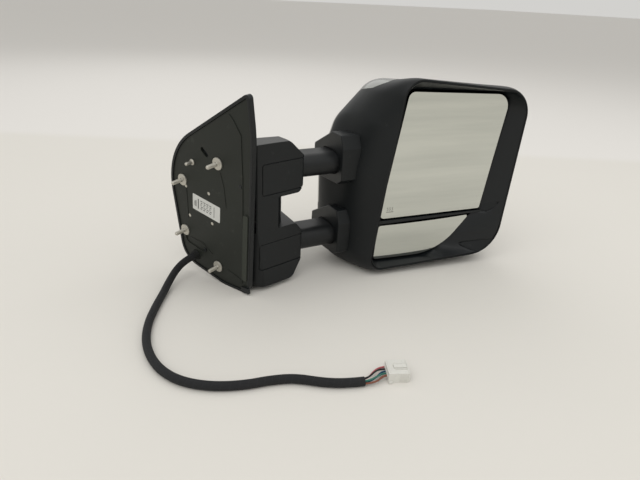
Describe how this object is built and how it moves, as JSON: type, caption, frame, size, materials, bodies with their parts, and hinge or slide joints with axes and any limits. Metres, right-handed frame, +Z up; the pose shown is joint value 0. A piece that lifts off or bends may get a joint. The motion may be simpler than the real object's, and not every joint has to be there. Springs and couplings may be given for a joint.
{
  "type": "towing mirror",
  "caption": "Telescoping door mirror for towing: two oval arm tubes, a folding bracket on a studded door base, a tall head with flat and convex glasses, and a taped wiring loom.",
  "frame": {"origin": "centre of the base of the object's box on the surface it stands on, the free wiring left out", "axes": "+X outboard along the arm tubes, +Y to the vehicle's front, +Z up"},
  "size_m": [0.6205, 0.393, 0.3109],
  "materials": {
    "black_grain": "fine-grained satin black",
    "dark_plastic": "smooth dark plastic",
    "base_metal": "dark olive-grey coat",
    "black_coat": "matt black coat",
    "cast_alloy": "as cast",
    "zinc_steel": "zinc plated",
    "spring_steel": "oiled spring steel",
    "bright_chrome": "polished",
    "mirror_glass": "silvered glass",
    "heater_foil": "printed foil",
    "label_white": "satin film",
    "black_rubber": "matt",
    "bush_plastic": "natural acetal",
    "loom_tape": "cloth tape",
    "wire_skin": "mixed colours",
    "pale_nylon": "moulded nylon"
  },
  "bodies": {
    "base": {"base_plate": "base_metal", "base_cover": "black_grain", "base_pedestal": "cast_alloy", "pedestal_screws": "zinc_steel", "mounting_studs": "zinc_steel", "locating_pin": "zinc_steel", "blank_label": "label_white", "edge_seal": "black_rubber", "edge_clip": "dark_plastic", "cable_grommet": "black_rubber", "pivot_shaft": "zinc_steel", "thrust_washer": "bush_plastic", "detent_ring": "spring_steel", "detent_balls": "spring_steel", "fold_spring": "spring_steel", "spring_washer": "zinc_steel", "pivot_nut": "zinc_steel", "wiring_loom": "loom_tape", "connector_wires": "wire_skin", "connector": "pale_nylon"},
    "bracket": {"bracket_frame": "cast_alloy", "bracket_housing": "black_grain", "bracket_front_cover": "black_grain", "arm_panel_upper": "black_grain", "arm_panel_lower": "black_grain", "tube_upper": "black_coat", "tube_lower": "black_coat", "tube_stop_upper": "dark_plastic", "tube_stop_lower": "dark_plastic", "tube_screws": "zinc_steel"},
    "head": {"head_housing": "black_grain", "front_cap": "bright_chrome", "collar_upper": "black_grain", "collar_lower": "black_grain", "tube_wipers": "black_rubber", "glass_surround": "dark_plastic", "head_carrier": "cast_alloy", "guide_bushes": "bush_plastic", "actuator_case": "dark_plastic", "actuator_lid": "dark_plastic", "drive_motors": "zinc_steel", "lower_pivot_mount": "dark_plastic", "actuator_screws": "zinc_steel", "pivot_mount_screws": "zinc_steel", "housing_screws": "zinc_steel"},
    "upper_gimbal": {"gimbal_upper": "dark_plastic"},
    "upper_glass": {"glass_upper": "mirror_glass", "heater_upper": "heater_foil", "backing_upper": "dark_plastic"},
    "lower_gimbal": {"gimbal_lower": "dark_plastic"},
    "lower_glass": {"glass_lower": "mirror_glass", "heater_lower": "heater_foil", "backing_lower": "dark_plastic"},
    "tilt_rod": {"drive_rod_tilt": "dark_plastic"},
    "pan_rod": {"drive_rod_pan": "dark_plastic"}
  },
  "joints": [
    {"name": "fold", "type": "hinge", "parent": "base", "child": "bracket", "pos_m": [-0.1489, 0.0061, 0.12], "axis": [0, 0, 1], "range_deg": [-55, 50]},
    {"name": "extend", "type": "slide", "parent": "bracket", "child": "head", "axis": [1, 0, 0], "range_m": [0, 0.095]},
    {"name": "upper_pan", "type": "hinge", "parent": "head", "child": "upper_gimbal", "pos_m": [0.13614, -0.04347, 0.191], "axis": [0, 0, 1], "range_deg": [-8, 8]},
    {"name": "upper_tilt", "type": "hinge", "parent": "upper_gimbal", "child": "upper_glass", "pos_m": [0.13614, -0.04347, 0.191], "axis": [0.9903, -0.1392, 0], "range_deg": [-8, 8]},
    {"name": "lower_pan", "type": "hinge", "parent": "head", "child": "lower_gimbal", "pos_m": [0.10445, -0.03901, 0.053], "axis": [0, 0, 1], "range_deg": [-8, 8]},
    {"name": "lower_tilt", "type": "hinge", "parent": "lower_gimbal", "child": "lower_glass", "pos_m": [0.10445, -0.03901, 0.053], "axis": [0.9903, -0.1392, 0], "range_deg": [-8, 8]},
    {"name": "tilt_rod_slide", "type": "slide", "parent": "head", "child": "tilt_rod", "axis": [0.1392, 0.9903, 0], "range_m": [-0.0042, 0.0042]},
    {"name": "pan_rod_slide", "type": "slide", "parent": "head", "child": "pan_rod", "axis": [0.1392, 0.9903, 0], "range_m": [-0.0042, 0.0042]}
  ],
  "couplings": [
    {"joint": "tilt_rod_slide", "follows": "upper_tilt", "m_per_rad": 0.03},
    {"joint": "pan_rod_slide", "follows": "upper_pan", "m_per_rad": 0.03}
  ]
}
